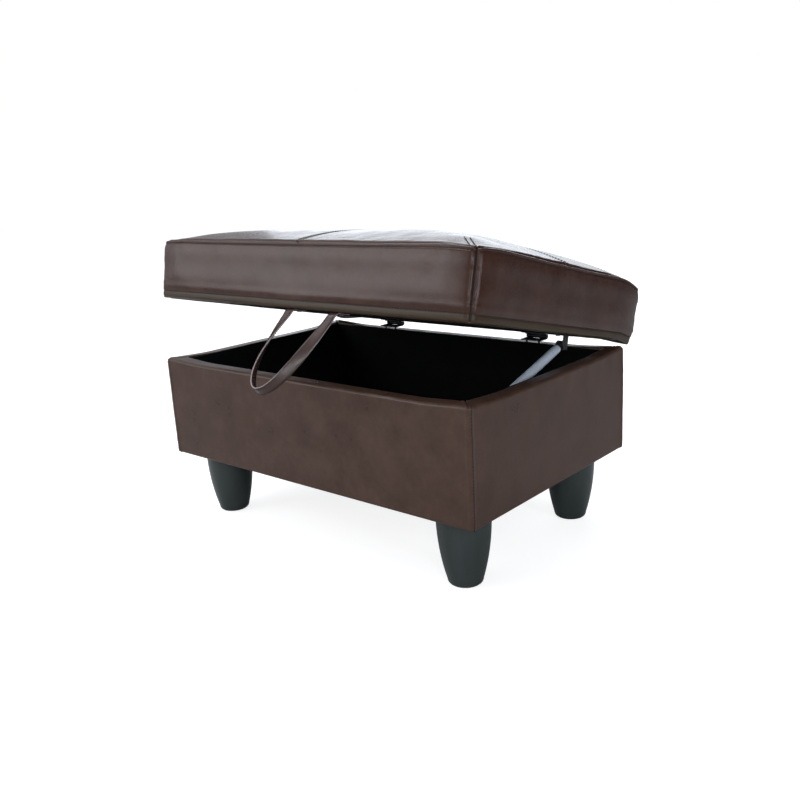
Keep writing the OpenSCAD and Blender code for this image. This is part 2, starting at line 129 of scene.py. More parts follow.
def normals(obj):
    n = np.zeros(len(obj.data.vertices) * 3)
    obj.data.vertices.foreach_get("normal", n)
    return n.reshape(-1, 3)


def set_coords(obj, co):
    obj.data.vertices.foreach_set("co", np.asarray(co, float).ravel())
    obj.data.update()


def apply_modifiers(obj):
    deps = bpy.context.evaluated_depsgraph_get()
    mesh = bpy.data.meshes.new_from_object(obj.evaluated_get(deps))
    obj.modifiers.clear()
    old = obj.data
    obj.data = mesh
    bpy.data.meshes.remove(old)
    mesh.polygons.foreach_set("use_smooth", [True] * len(mesh.polygons))


def subdivide(obj):
    m = obj.modifiers.new("sub", "SUBSURF")
    m.levels = m.render_levels = 1
    apply_modifiers(obj)


def spaced(lo, hi, specials, fine, coarse, reach):
    """Positions from lo to hi, closest together near the special ones."""
    out = [lo]
    while out[-1] < hi - 1e-9:
        d = min(abs(out[-1] - s) for s in specials)
        step = fine + (coarse - fine) * min(1, d / reach)
        out.append(out[-1] + step)
    out = np.array(out)
    return lo + (out - lo) * (hi - lo) / (out[-1] - lo)


def box_grid(xs, ys, zs):
    """Outer surface of a lattice as (points, quads facing out)."""
    index, pts, quads = {}, [], []

    def at(i, j, k):
        key = (i, j, k)
        if key not in index:
            index[key] = len(pts)
            pts.append((xs[i], ys[j], zs[k]))
        return index[key]

    nx, ny, nz = len(xs) - 1, len(ys) - 1, len(zs) - 1
    for i in range(nx):
        for j in range(ny):
            quads.append((at(i, j, nz), at(i + 1, j, nz), at(i + 1, j + 1, nz), at(i, j + 1, nz)))
            quads.append((at(i, j, 0), at(i, j + 1, 0), at(i + 1, j + 1, 0), at(i + 1, j, 0)))
    for i in range(nx):
        for k in range(nz):
            quads.append((at(i, 0, k), at(i + 1, 0, k), at(i + 1, 0, k + 1), at(i, 0, k + 1)))
            quads.append((at(i, ny, k), at(i, ny, k + 1), at(i + 1, ny, k + 1), at(i + 1, ny, k)))
    for j in range(ny):
        for k in range(nz):
            quads.append((at(0, j, k), at(0, j, k + 1), at(0, j + 1, k + 1), at(0, j + 1, k)))
            quads.append((at(nx, j, k), at(nx, j + 1, k), at(nx, j + 1, k + 1), at(nx, j, k + 1)))
    return np.array(pts), quads


# ---------------------------------------------------------------- materials
def material(name):
    m = bpy.data.materials.new(name)
    m.use_nodes = True
    nt = m.node_tree
    nt.nodes.clear()
    out = nt.nodes.new("ShaderNodeOutputMaterial")
    bsdf = nt.nodes.new("ShaderNodeBsdfPrincipled")
    nt.links.new(bsdf.outputs[0], out.inputs[0])
    return m, nt, bsdf


def add(nt, kind, **values):
    n = nt.nodes.new(kind)
    for k, v in values.items():
        if k in n.inputs:
            n.inputs[k].default_value = v
        else:
            setattr(n, k, v)
    return n


def ramp(nt, stops):
    n = nt.nodes.new("ShaderNodeValToRGB")
    while len(n.color_ramp.elements) < len(stops):
        n.color_ramp.elements.new(0.5)
    for e, (at, c) in zip(n.color_ramp.elements, stops):
        e.position = at
        e.color = (*c, 1) if len(c) == 3 else c
    return n


def leather(name, dark, mid, light, rough=(0.27, 0.42), coat=0.0, gloss=0.36):
    """Leather with soft blotches, fine specks, a pebbled grain and shallow creases."""
    m, nt, bsdf = material(name)
    link = nt.links.new
    tc = add(nt, "ShaderNodeTexCoord")
    blotch = add(nt, "ShaderNodeTexNoise", Scale=18.0, Detail=5.0, Roughness=0.62)
    link(tc.outputs["Object"], blotch.inputs["Vector"])
    tone = ramp(nt, [(0.2, dark), (0.5, mid), (0.8, light)])
    link(blotch.outputs["Fac"], tone.inputs[0])
    fine = add(nt, "ShaderNodeTexNoise", Scale=140.0, Detail=3.0, Roughness=0.6)
    link(tc.outputs["Object"], fine.inputs["Vector"])
    speck = ramp(nt, [(0.3, (0.93, 0.93, 0.93)), (0.72, (1.06, 1.05, 1.04))])
    link(fine.outputs["Fac"], speck.inputs[0])
    mix = add(nt, "ShaderNodeMixRGB", blend_type="MULTIPLY")
    mix.inputs[0].default_value = 1.0
    link(tone.outputs[0], mix.inputs[1])
    link(speck.outputs[0], mix.inputs[2])
    link(mix.outputs[0], bsdf.inputs["Base Color"])
    r = ramp(nt, [(0.3, (rough[0],) * 3), (0.7, (rough[1],) * 3)])
    link(blotch.outputs["Fac"], r.inputs[0])
    link(r.outputs[0], bsdf.inputs["Roughness"])
    cells = add(nt, "ShaderNodeTexVoronoi", feature="DISTANCE_TO_EDGE", Scale=520.0)
    warp = add(nt, "ShaderNodeMixRGB", blend_type="ADD")
    warp.inputs[0].default_value = 0.0006
    link(tc.outputs["Object"], warp.inputs[1])
    link(fine.outputs["Color"], warp.inputs[2])
    link(warp.outputs[0], cells.inputs["Vector"])
    soft = ramp(nt, [(0.0, (0, 0, 0)), (0.16, (1, 1, 1))])
    link(cells.outputs["Distance"], soft.inputs[0])
    bump = add(nt, "ShaderNodeBump", Strength=0.16, Distance=0.0006)
    link(soft.outputs[0], bump.inputs["Height"])
    crease = add(nt, "ShaderNodeTexNoise", Scale=60.0, Detail=4.0, Roughness=0.55)
    link(tc.outputs["Object"], crease.inputs["Vector"])
    bump2 = add(nt, "ShaderNodeBump", Strength=0.12, Distance=0.0014)
    link(crease.outputs["Fac"], bump2.inputs["Height"])
    link(bump.outputs[0], bump2.inputs["Normal"])
    link(bump2.outputs[0], bsdf.inputs["Normal"])
    bsdf.inputs["Coat Weight"].default_value = coat
    bsdf.inputs["Coat Roughness"].default_value = 0.2
    bsdf.inputs["Specular IOR Level"].default_value = gloss
    return m


def simple(name, low, high, rough, scale=40.0, bump=0.05, metallic=0.0, stretch=(1, 1, 1), coat=0.0):
    """A finish whose colour, roughness and bump vary a little with one noise."""
    m, nt, bsdf = material(name)
    link = nt.links.new
    tc = add(nt, "ShaderNodeTexCoord")
    mp = add(nt, "ShaderNodeMapping")
    mp.inputs["Scale"].default_value = stretch
    link(tc.outputs["Object"], mp.inputs["Vector"])
    n = add(nt, "ShaderNodeTexNoise", Scale=scale, Detail=5.0, Roughness=0.6)
    link(mp.outputs[0], n.inputs["Vector"])
    c = ramp(nt, [(0.3, low), (0.7, high)])
    link(n.outputs["Fac"], c.inputs[0])
    link(c.outputs[0], bsdf.inputs["Base Color"])
    r = ramp(nt, [(0.3, (rough[0],) * 3), (0.7, (rough[1],) * 3)])
    link(n.outputs["Fac"], r.inputs[0])
    link(r.outputs[0], bsdf.inputs["Roughness"])
    b = add(nt, "ShaderNodeBump", Strength=bump, Distance=0.001)
    link(n.outputs["Fac"], b.inputs["Height"])
    link(b.outputs[0], bsdf.inputs["Normal"])
    bsdf.inputs["Metallic"].default_value = metallic
    bsdf.inputs["Coat Weight"].default_value = coat
    return m


def woven(name, low, high, count=900.0):
    """Plain woven cloth, with a fine thread along each axis."""
    m, nt, bsdf = material(name)
    link = nt.links.new
    tc = add(nt, "ShaderNodeTexCoord")
    threads = None
    for axis in "XYZ":
        wave = add(nt, "ShaderNodeTexWave", wave_type="BANDS", bands_direction=axis, Scale=count / 6.28)
        link(tc.outputs["Object"], wave.inputs["Vector"])
        if threads is None:
            threads = wave.outputs["Fac"]
            continue
        both = add(nt, "ShaderNodeMath", operation="ADD")
        link(threads, both.inputs[0])
        link(wave.outputs["Fac"], both.inputs[1])
        threads = both.outputs[0]
    n = add(nt, "ShaderNodeTexNoise", Scale=30.0, Detail=4.0)
    link(tc.outputs["Object"], n.inputs["Vector"])
    c = ramp(nt, [(0.3, low), (0.75, high)])
    link(n.outputs["Fac"], c.inputs[0])
    link(c.outputs[0], bsdf.inputs["Base Color"])
    b = add(nt, "ShaderNodeBump", Strength=0.3, Distance=0.0003)
    link(threads, b.inputs["Height"])
    link(b.outputs[0], bsdf.inputs["Normal"])
    bsdf.inputs["Roughness"].default_value = 0.92
    bsdf.inputs["Specular IOR Level"].default_value = 0.12
    return m


def wood(name):
    m, nt, bsdf = material(name)
    link = nt.links.new
    tc = add(nt, "ShaderNodeTexCoord")
    mp = add(nt, "ShaderNodeMapping")
    mp.inputs["Scale"].default_value = (2.0, 14.0, 30.0)
    link(tc.outputs["Object"], mp.inputs["Vector"])
    n = add(nt, "ShaderNodeTexNoise", Scale=6.0, Detail=8.0, Roughness=0.65)
    link(mp.outputs[0], n.inputs["Vector"])
    c = ramp(nt, [(0.3, (0.46, 0.31, 0.17)), (0.55, (0.62, 0.46, 0.28)), (0.8, (0.72, 0.56, 0.37))])
    link(n.outputs["Fac"], c.inputs[0])
    link(c.outputs[0], bsdf.inputs["Base Color"])
    b = add(nt, "ShaderNodeBump", Strength=0.1, Distance=0.0006)
    link(n.outputs["Fac"], b.inputs["Height"])
    link(b.outputs[0], bsdf.inputs["Normal"])
    bsdf.inputs["Roughness"].default_value = 0.7
    return m


LEATHER = leather("brown_leather", (0.047, 0.0235, 0.0150), (0.067, 0.0355, 0.0245),
                  (0.090, 0.0500, 0.0365), gloss=0.26)
LEATHER_LID = leather("lid_leather", (0.033, 0.013, 0.008), (0.049, 0.021, 0.014), (0.068, 0.033, 0.023),
                      rough=(0.16, 0.27), gloss=0.28)
HEM_LEATHER = leather("hem_leather", (0.036, 0.022, 0.012), (0.046, 0.029, 0.016), (0.058, 0.038, 0.022),
                      gloss=0.2)
STRAP_LEATHER = leather("strap_leather", (0.040, 0.018, 0.013), (0.055, 0.026, 0.019),
                        (0.075, 0.038, 0.029), rough=(0.20, 0.30), gloss=0.5, coat=0.3)
# edge paint on the strap's cut edges, made light grey as a painted highlight: its lightness stands for the
# shine off the glossy paint
STRAP_EDGE_PAINTED_SHINE = simple("strap_edge_painted_shine", (0.20, 0.15, 0.15), (0.32, 0.26, 0.26), (0.35, 0.5), scale=300, bump=0.1)
THREAD = simple("thread", (0.006, 0.004, 0.004), (0.013, 0.008, 0.008), (0.55, 0.75), scale=900, bump=0.3)
SEAM = simple("seam_shadow", (0.008, 0.004, 0.004), (0.014, 0.008, 0.007), (0.65, 0.8), scale=300, bump=0.2)
LINING = woven("black_lining", (0.0022, 0.0026, 0.0030), (0.0040, 0.0046, 0.0052))
LEG = simple("leg_lacquer", (0.019, 0.026, 0.025), (0.031, 0.041, 0.039), (0.28, 0.38), scale=30,
             bump=0.06, stretch=(1, 1, 0.12), coat=0.15)
STEEL = simple("zinc_steel", (0.16, 0.16, 0.17), (0.3, 0.3, 0.31), (0.3, 0.5), scale=260, bump=0.06,
               metallic=0.9)
BLACK = simple("black_paint", (0.010, 0.010, 0.011), (0.018, 0.018, 0.02), (0.35, 0.5), scale=200,
               bump=0.08)
SILVER = simple("strut_silver", (0.60, 0.68, 0.78), (0.72, 0.80, 0.90), (0.22, 0.32), scale=180, bump=0.02,
                metallic=0.3, stretch=(1, 0.1, 0.1))
DARK_STEEL = simple("black_zinc", (0.012, 0.013, 0.014), (0.022, 0.023, 0.025), (0.35, 0.5), scale=200,
                    bump=0.08, metallic=0.5)
WOOD = wood("plywood")
FOAM = simple("foam", (0.6, 0.55, 0.38), (0.75, 0.7, 0.52), (0.85, 0.95), scale=300, bump=0.4)

BY_SLOT = {"leather": LEATHER, "plywood": WOOD, "lining": LINING, "foam": FOAM, "leg_finish": LEG,
           "strut_metal": SILVER, "black_metal": BLACK, "steel": STEEL}
for part in frame["record"]["subparts"]:
    obj = frame["nodes"][part["node"]]
    obj.data.materials.clear()
    hinge = part["node"].startswith("hinge") or part["node"].endswith("hinge_screws")
    obj.data.materials.append(DARK_STEEL if hinge else BY_SLOT[part["material_slot"]])


# ---------------------------------------------------------------- the lid's leather
HX, HY = LID_W / 2, LID_D / 2
CORNER_R, TOP_R, LOW_R = 0.013, 0.011, 0.007
HEM = 0.014             # height of the hem above the lid's lower edge
TOPSTITCH = 0.0072      # below the top seam
CROSS_STITCH = 0.006    # either side of the seams across the middle
NEAR = 1e-6


def ridge(s, width, height):
    """How far a rounded ridge along the line s = 0 stands up."""
    return height * np.exp(-(s / width) ** 2)


def groove(s, width, depth):
    return ridge(s, width, -depth)


def fall(s, start, length):
    """1 up to the start, then straight down to 0."""
    return np.clip(1 - (s - start) / length, 0, 1)


def dart(x, y):
    """Distance from the short diagonal seams at the corners of the top, and how far along."""
    u = HX - np.abs(x)
    v = HY - np.abs(y)
    return (u - v) / math.sqrt(2), (u + v) / math.sqrt(2)


def lid_shape(p, crown):
    """Puts lattice points on the rounded lid. Also says which are on its top and its underside."""
    x, y, z = p[:, 0], p[:, 1], p[:, 2]
    top = z > LID_H - NEAR
    low = z < NEAR
    inset = np.minimum(HX - np.abs(x), HY - np.abs(y))
    u = np.clip((np.abs(x) - (HX - CORNER_R)) / CORNER_R, 0, 1)
    v = np.clip((np.abs(y) - (HY - CORNER_R)) / CORNER_R, 0, 1)
    round_u, round_v = u * np.sqrt(1 - v * v / 2), v * np.sqrt(1 - u * u / 2)
    size = np.maximum(np.hypot(round_u, round_v), 1e-9)
    nx, ny = round_u / size * np.sign(x), round_v / size * np.sign(y)
    on_x = np.sign(x) * (np.minimum(np.abs(x), HX - CORNER_R) + CORNER_R * round_u)
    on_y = np.sign(y) * (np.minimum(np.abs(y), HY - CORNER_R) + CORNER_R * round_v)
    on_z = z
    for r, upper in ((TOP_R, True), (LOW_R, False)):
        h = z if upper else LID_H - z
        near = (h > LID_H - r) & (inset < r)
        a = np.clip(1 - inset / r, 0, 1)
        b = np.clip((h - (LID_H - r)) / r, 0, 1)
        round_a, round_b = a * np.sqrt(1 - b * b / 2), b * np.sqrt(1 - a * a / 2)
        shift = np.where(near, r * (1 - round_a) - inset, 0)
        on_x = on_x - shift * nx
        on_y = on_y - shift * ny
        level = LID_H - r + r * round_b
        on_z = np.where(near, level if upper else LID_H - level, on_z)
    flat_x = 1 - np.abs(x / HX) ** 7
    flat_y = 1 - np.abs(y / HY) ** 5
    on_z = on_z + np.where(top, crown * flat_x * flat_y, 0)
    return np.column_stack([on_x, on_y, on_z]), top, low


def pin_weights(co):
    """Holds the hem fast, the seams and corners by half, and the seams across the middle a little."""
    ax, ay, z = np.abs(co[:, 0]), np.abs(co[:, 1]), co[:, 2]
    weight = fall(z, 0.010, 0.010)
    edge = np.minimum(HX - ax, HY - ay)
    seam = np.hypot(np.clip(edge, 0, 1), LID_H - z)
    weight = np.maximum(weight, 0.55 * fall(seam, 0, 0.014))
    corner = np.hypot(HX - ax, HY - ay)
    weight = np.maximum(weight, 0.5 * fall(corner, 0.01, 0.02))
    middle = np.minimum(ax, ay)
    return np.maximum(weight, np.where(z > LID_H, 0.22 * fall(middle, 0, 0.008), 0))


def simulated_lid():
    """Swells a slightly smaller lid with cloth, and gives the result as a search tree."""
    xs = spaced(-HX + 0.001, HX - 0.001, [-HX, HX], 0.006, 0.012, 0.05)
    ys = spaced(-HY + 0.001, HY - 0.001, [-HY, HY], 0.006, 0.012, 0.05)
    zs = spaced(0, LID_H, [0, LID_H], 0.005, 0.010, 0.03)
    p, quads = box_grid(xs, ys, zs)
    co, _, _ = lid_shape(p, 0.012)
    obj = make("lid_cloth_copy", co, quads)
    rm = obj.modifiers.new("remesh", "REMESH")
    rm.mode = "VOXEL"
    rm.voxel_size = 0.006
    apply_modifiers(obj)
    co = coords(obj)
    weight = pin_weights(co)
    group = obj.vertex_groups.new(name="pin")
    for w in np.unique(np.round(weight, 2)):
        if w > 0:
            ids = np.nonzero(np.round(weight, 2) == w)[0]
            group.add([int(i) for i in ids], float(w), "REPLACE")
    cloth = obj.modifiers.new("cloth", "CLOTH")
    s = cloth.settings
    s.quality = 5
    s.mass = 0.4
    s.tension_stiffness = s.compression_stiffness = 18
    s.shear_stiffness = 6
    s.bending_stiffness = 1.5
    s.use_pressure = True
    s.uniform_pressure_force = 4
    s.vertex_group_mass = "pin"
    s.pin_stiffness = 1.0
    s.effector_weights.gravity = 0
    frames = 20
    cloth.point_cache.frame_start = 1
    cloth.point_cache.frame_end = frames
    scene = bpy.context.scene
    for f in range(1, frames + 1):
        scene.frame_set(f)
    deps = bpy.context.evaluated_depsgraph_get()
    mesh = bpy.data.meshes.new_from_object(obj.evaluated_get(deps))
    out = np.zeros(len(mesh.vertices) * 3)
    mesh.vertices.foreach_get("co", out)
    out = out.reshape(-1, 3)
    move = out - co
    size = np.linalg.norm(move, axis=1)
    farthest = 0.026
    move *= (np.minimum(size, farthest) / np.maximum(size, 1e-9))[:, None]
    out = co + move
    polys = [tuple(f.vertices) for f in mesh.polygons]
    tree = BVHTree.FromPolygons([Vector(c) for c in out], polys)
    scene.frame_set(1)
    bpy.data.objects.remove(obj)
    return tree


def relax(values, pairs, count, rounds):
    """Averages a value with its neighbours."""
    a, b = pairs[:, 0], pairs[:, 1]
    degree = np.bincount(a, minlength=count) + np.bincount(b, minlength=count)
    for _ in range(rounds):
        total = np.bincount(a, weights=values[b], minlength=count) \
            + np.bincount(b, weights=values[a], minlength=count)
        values = 0.5 * values + 0.5 * total / np.maximum(degree, 1)
    return values


def edge_pairs(quads):
    q = np.array(quads)
    e = np.concatenate([q[:, [0, 1]], q[:, [1, 2]], q[:, [2, 3]], q[:, [3, 0]]])
    e.sort(axis=1)
    return np.unique(e, axis=0)


def face_kinds(quads, p):
    """For each face of the lid: 0 on the panels, 1 on the hem, 2 in the shadow of a seam."""
    middle = p[np.array(quads)].mean(axis=1)
    ax, ay, z = np.abs(middle[:, 0]), np.abs(middle[:, 1]), middle[:, 2]
    inset = np.minimum(HX - ax, HY - ay)
    corner = np.abs((HX - ax) - (HY - ay))
    side = (z > NEAR) & (z < LID_H - NEAR)
    top = z > LID_H - NEAR
    seam = 0.0008
    kind = np.where(z < HEM, 1, 0)
    kind[side & (corner < seam)] = 2
    kind[side & (z > LID_H - 0.0009)] = 2
    kind[top & (np.minimum(ax, ay) < seam) & (inset > 0.002)] = 2
    return kind.astype(np.int32)


def swollen(co, n, quads, low):
    """Moves the lid's points out to the simulated cloth, with its unevenness smoothed away."""
    tree = simulated_lid()
    reach, search = 0.045, 0.09
    move = np.zeros(len(co))
    for i in np.nonzero(~low)[0]:
        start = Vector(co[i] + n[i] * reach)
        hit = tree.ray_cast(start, Vector(-n[i]), search)
        if hit[0] is not None:
            move[i] = np.clip(reach - hit[3], -0.001, 0.024)
    move = relax(move, edge_pairs(quads), len(co), 36)
    move[low] = 0
    return co + n * move[:, None]


def seam_relief(co, p, top, low):
    """How far each point of the lid stands out for its seams, stitch lines, puckers and waves."""
    x, y, z = p[:, 0], p[:, 1], p[:, 2]
    side = ~top & ~low
    inset = np.minimum(HX - np.abs(x), HY - np.abs(y))
    from_top = np.where(top, inset, LID_H - z)
    from_top = np.where(low, 1.0, from_top)
    corner = np.where(side, np.abs((HX - np.abs(x)) - (HY - np.abs(y))), 1.0)
    # the seam round the top, with a fold on either side of it
    d = groove(from_top, width=0.0022, depth=0.0022)
    d += np.where(top, ridge(from_top - 0.006, width=0.004, height=0.0010), 0)
    d += np.where(side, groove(from_top - TOPSTITCH, width=0.0014, depth=0.0013), 0)
    d += np.where(side, ridge(from_top - 0.0036, width=0.0018, height=0.0011), 0)
    d += np.where(side, ridge(from_top - 0.022, width=0.012, height=0.0018), 0)
    # the hem's stitch line, and the swelling above it
    d += np.where(side, groove(z - HEM, width=0.0014, depth=0.0013), 0)
    d += np.where(side, ridge(z - HEM - 0.010, width=0.006, height=0.0009), 0)
    # the corner seams, beside which the border swells out quickly
    d += np.where(side, groove(corner, width=0.0016, depth=0.0022), 0)
    swell = (1 - np.exp(-corner / 0.017)) * np.exp(-np.clip(corner - 0.05, 0, 1) / 0.16)
    d += np.where(side, 0.0072 * swell * (0.35 + 0.65 * smooth01(z / 0.05)), 0)
    # the seams across the middle with their stitch lines, and the short ones at the corners
    middle = np.minimum(np.abs(x), np.abs(y))
    d += np.where(top, groove(middle, width=0.0020, depth=0.0024) * smooth01(inset / 0.004), 0)
    d += np.where(top, groove(middle - CROSS_STITCH, width=0.0013, depth=0.0007), 0)
    across, along_dart = dart(x, y)
    fade = 1 - smooth01((along_dart - 0.07) / 0.03)
    d += np.where(top, groove(across, width=0.0020, depth=0.0022) * fade, 0)
    # puckers that run away from the stitches, and broad soft waves
    wave = noise(np.column_stack([x, y, z * 0.15]), 75, 3)
    d += 0.0006 * wave * np.exp(-(from_top / 0.022) ** 2) * np.where(low, 0, 1)
    per_side = np.sign(x)[:, None] * 3 + np.sign(y)[:, None]
    stripes = noise(np.column_stack([x * 0, y * 0, z]) + per_side, 190, 5)
    d += np.where(side, 0.0008 * stripes * np.exp(-(corner / 0.016) ** 2), 0)
    d += 0.0011 * noise(co, 13, 7) * np.where(low, 0, 1) + 0.0005 * noise(co, 34, 8) * np.where(low, 0, 1)
    # the board inside keeps the hem from sinking
    deepest, board_top = 0.0018, 0.022
    return np.where(side & (z < board_top), np.maximum(d, -deepest), d)


def settle(co, p, top):
    """Lifts the stuffed top, and lets the corners droop and the back bulge."""
    x, y, z = p[:, 0], p[:, 1], p[:, 2]
    inset = np.minimum(HX - np.abs(x), HY - np.abs(y))
    # the corners of the top give way a little, more at the back
    droop = np.where(y > 0, 0.013, 0.002)
    near = np.exp(-(np.hypot(HX - np.abs(x), HY - np.abs(y)) / 0.045) ** 2)
    co[:, 2] -= droop * near * smooth01(z / LID_H)
    # the stuffing holds the top edge up, and the middle higher still
    co[:, 2] += 0.0105 * smooth01((z - 0.055) / 0.045)
    rise = (1 - np.abs(x / HX) ** 6) * (1 - np.abs(y / HY) ** 5)
    co[:, 2] += np.where(top, 0.009 * np.clip(rise, 0, 1), 0)
    # at the back the leather bulges out, and its lower edge hangs at the rear corners
    rear = smooth01((y - (HY - 0.09)) / 0.09)
    co[:, 1] += 0.009 * rear * smooth01(z / 0.03) + 0.003 * rear
    ends = smooth01((np.abs(x) - (HX - 0.10)) / 0.10)
    lower_edge = fall(inset, 0, 0.006) * fall(z, 0, 0.05)
    co[:, 2] -= 0.009 * smooth01((y - (HY - 0.06)) / 0.06) * ends * lower_edge


def lid_leather():
    """The lid's leather as it stands open, with the flat lattice it was made from."""
    fine, coarse, blend_over = 0.0011, 0.007, 0.03
    xs = spaced(-HX, HX, [-HX, 0, HX], fine, coarse, blend_over)
    ys = spaced(-HY, HY, [-HY, 0, HY], fine, coarse, blend_over)
    zs = spaced(0, LID_H, [0, HEM, LID_H - TOPSTITCH, LID_H], 0.0012, 0.005, blend_over)
    p, quads = box_grid(xs, ys, zs)
    # the lattice is put on the rounded lid with a crown of 12 mm
    co, top, low = lid_shape(p, 0.012)
    obj = make("lid_leather", co, quads, LEATHER_LID)
    obj.data.materials.append(HEM_LEATHER)
    obj.data.materials.append(SEAM)
    obj.data.polygons.foreach_set("material_index", face_kinds(quads, p))
    co = swollen(co, normals(obj), quads, low)
    set_coords(obj, co)
    co = co + normals(obj) * seam_relief(co, p, top, low)[:, None]
    settle(co, p, top)
    co += np.array([0, LID_MID_Y, LID_Z])
    set_coords(obj, lid_pose(co))
    return obj, p


lid, lid_lattice = lid_leather()


def tree_of(obj):
    co = coords(obj)
    return BVHTree.FromPolygons([Vector(c) for c in co], [tuple(f.vertices) for f in obj.data.polygons])


# ---------------------------------------------------------------- stitches
STITCH_PITCH, STITCH_LENGTH = 0.0060, 0.0042
# along a stitch: how far along, its height in radii, and its thickness in radii
STITCH_OUTLINE = ((0.0, -0.5, 0.5), (0.12, 0.55, 0.95), (0.5, 0.9, 1.0), (0.88, 0.55, 0.95),
                  (1.0, -0.5, 0.5))


def stitch_mesh(name, segments, radius=0.0007):
    """segments: (start, end, outward normal). Each is a short thread that dips at both ends."""
    round_points = 6
    pts, faces = [], []
    for a, b, n in segments:
        a, b, n = Vector(a), Vector(b), Vector(n).normalized()
        t = b - a
        w = t.cross(n)
        if w.length < 1e-9:
            continue
        w.normalize()
        rings = []
        for f, lift, r in STITCH_OUTLINE:
            c = a + t * f + n * radius * lift
            ring = []
            for k in range(round_points):
                ang = 2 * math.pi * k / round_points
                ring.append(len(pts))
                pts.append(c + w * (radius * r * math.cos(ang)) + n * (radius * r * math.sin(ang)))
            rings.append(ring)
        for r0, r1 in zip(rings, rings[1:]):
            for k in range(round_points):
                after = (k + 1) % round_points
                faces.append((r0[k], r0[after], r1[after], r1[k]))
        faces.append(tuple(reversed(rings[0])))
        faces.append(tuple(rings[-1]))
    return make(name, [tuple(q) for q in pts], faces, THREAD)


def along(points, normal, pitch=STITCH_PITCH, length=STITCH_LENGTH):
    """Cuts a line of points into stitch segments."""
    points = np.asarray(points, float)
    normal = np.asarray(normal, float)
    step = np.linalg.norm(np.diff(points, axis=0), axis=1)
    s = np.concatenate([[0], np.cumsum(step)])
    out = []
    count = int(s[-1] / pitch)
    for k in range(count):
        a = (k + 0.1) * s[-1] / count
        b = a + length
        if b > s[-1]:
            break
        start = [np.interp(a, s, points[:, i]) for i in range(3)]
        end = [np.interp(b, s, points[:, i]) for i in range(3)]
        outward = [np.interp((a + b) / 2, s, normal[:, i]) for i in range(3)]
        out.append((start, end, outward))
    return out


def lattice_rows():
    """The lid's stitch lines, each as its points' indices in the lattice and how far it is raised."""
    p = lid_lattice
    side = (p[:, 2] > NEAR) & (p[:, 2] < LID_H - NEAR)
    top = p[:, 2] > LID_H - NEAR
    rows = []

    def on(axis, value):
        return np.abs(p[:, axis] - value) < 1e-7

    def nearest(axis, value):
        values = np.unique(p[:, axis])
        return values[np.argmin(np.abs(values - value))]

    def row(chosen, axis, lift=0.0, trim=0):
        ids = np.nonzero(chosen)[0]
        ids = ids[np.argsort(p[ids, axis])]
        rows.append((ids[trim:len(ids) - trim], lift))

    borders = ((1, -HY), (0, HX), (1, HY), (0, -HX))
    for height in (LID_H - TOPSTITCH, HEM):
        for axis, edge in borders:
            row(on(2, nearest(2, height)) & on(axis, edge), 1 - axis)
    for offset in (-CROSS_STITCH, CROSS_STITCH):
        for axis in (0, 1):
            row(top & on(axis, nearest(axis, offset)), 1 - axis, trim=2)
    for sx in (-1, 1):
        for sy in (-1, 1):
            row(side & on(0, sx * HX) & on(1, sy * HY), 2, lift=0.0004)
    for axis, edge in borders:
        row(top & on(axis, edge), 1 - axis, lift=0.0002)
    return rows


lid_co, lid_n = coords(lid), normals(lid)
segments = []
for ids, lift in lattice_rows():
    segments += along(lid_co[ids] + lid_n[ids] * lift, lid_n[ids])
subdivide(lid)


def dart_rows():
    """The short diagonal seams from the corners of the top, found by looking down on the lid."""
    tree = tree_of(lid)
    base, tip = lid_pose([[0, 0, 0], [0, 0, -1]])
    down = Vector(tip - base)
    above = LID_Z + LID_H + 0.08
    out = []
    for sx in (-1, 1):
        for sy in (-1, 1):
            for apart in (0.0, 0.009):
                pts, nors = [], []
                for s in np.arange(0.012, 0.086, 0.003):
                    across = apart * sx * -sy
                    u, v = (s + across) / math.sqrt(2), (s - across) / math.sqrt(2)
                    spot = [sx * (HX - u), sy * (HY - v) + LID_MID_Y, above]
                    hit = tree.ray_cast(Vector(lid_pose([spot])[0]), down, 0.2)
                    if hit[0] is not None:
                        pts.append(tuple(hit[0]))
                        nors.append(tuple(hit[1]))
                out += along(pts, nors)
    return out


segments += dart_rows()
lid_thread = stitch_mesh("lid_stitches", segments)
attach(lid, "lid")
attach(lid_thread, "lid")
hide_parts("lid_top_front_left", "lid_top_front_right", "lid_top_rear_left", "lid_top_rear_right",
            "lid_border_front", "lid_border_back", "lid_border_left", "lid_border_right", "lid_foam")


# ---------------------------------------------------------------- the box's leather
def ring_mesh(name, profile, half_w, half_d, mid_y, material_, step=0.006, corner_fine=0.0012):
    """Sweeps a closed outline (inset from the outside, height) round the box with mitred corners.
    Returns the object, and for each point its side, place along it and index in the outline."""
    pts, info, faces = [], [], []
    m = len(profile)
    sides = []
    for side in range(4):
        half = half_w if side % 2 == 0 else half_d
        t = spaced(-half, half, [-half, half], corner_fine, step, 0.03)
        sides.append(t[:-1] / half)
    stations = [(side, f) for side in range(4) for f in sides[side]]
    for side, f in stations:
        half, other = (half_w, half_d) if side % 2 == 0 else (half_d, half_w)
        for j, (u, z) in enumerate(profile):
            t = f * (half - u)
            out = other - u
            if side == 0:
                q = (t, -out, z)
            elif side == 1:
                q = (out, t, z)
            elif side == 2:
                q = (-t, out, z)
            else:
                q = (-out, -t, z)
            pts.append((q[0], q[1] + mid_y, q[2]))
            info.append((side, f * half, j))
    total = len(stations)
    for s in range(total):
        for j in range(m):
            a, b = s * m + j, s * m + (j + 1) % m
            c, d = ((s + 1) % total) * m + (j + 1) % m, ((s + 1) % total) * m + j
            faces.append((a, d, c, b))
    return make(name, pts, faces, material_), np.array(info)


def arc(cx, cz, r, a0, a1, count):
    return [(cx + r * math.cos(math.radians(a0 + (a1 - a0) * k / count)),
             cz + r * math.sin(math.radians(a0 + (a1 - a0) * k / count))) for k in range(count + 1)]


def between(a, b, count):
    return [(a[0] + (b[0] - a[0]) * k / count, a[1] + (b[1] - a[1]) * k / count) for k in range(1, count)]


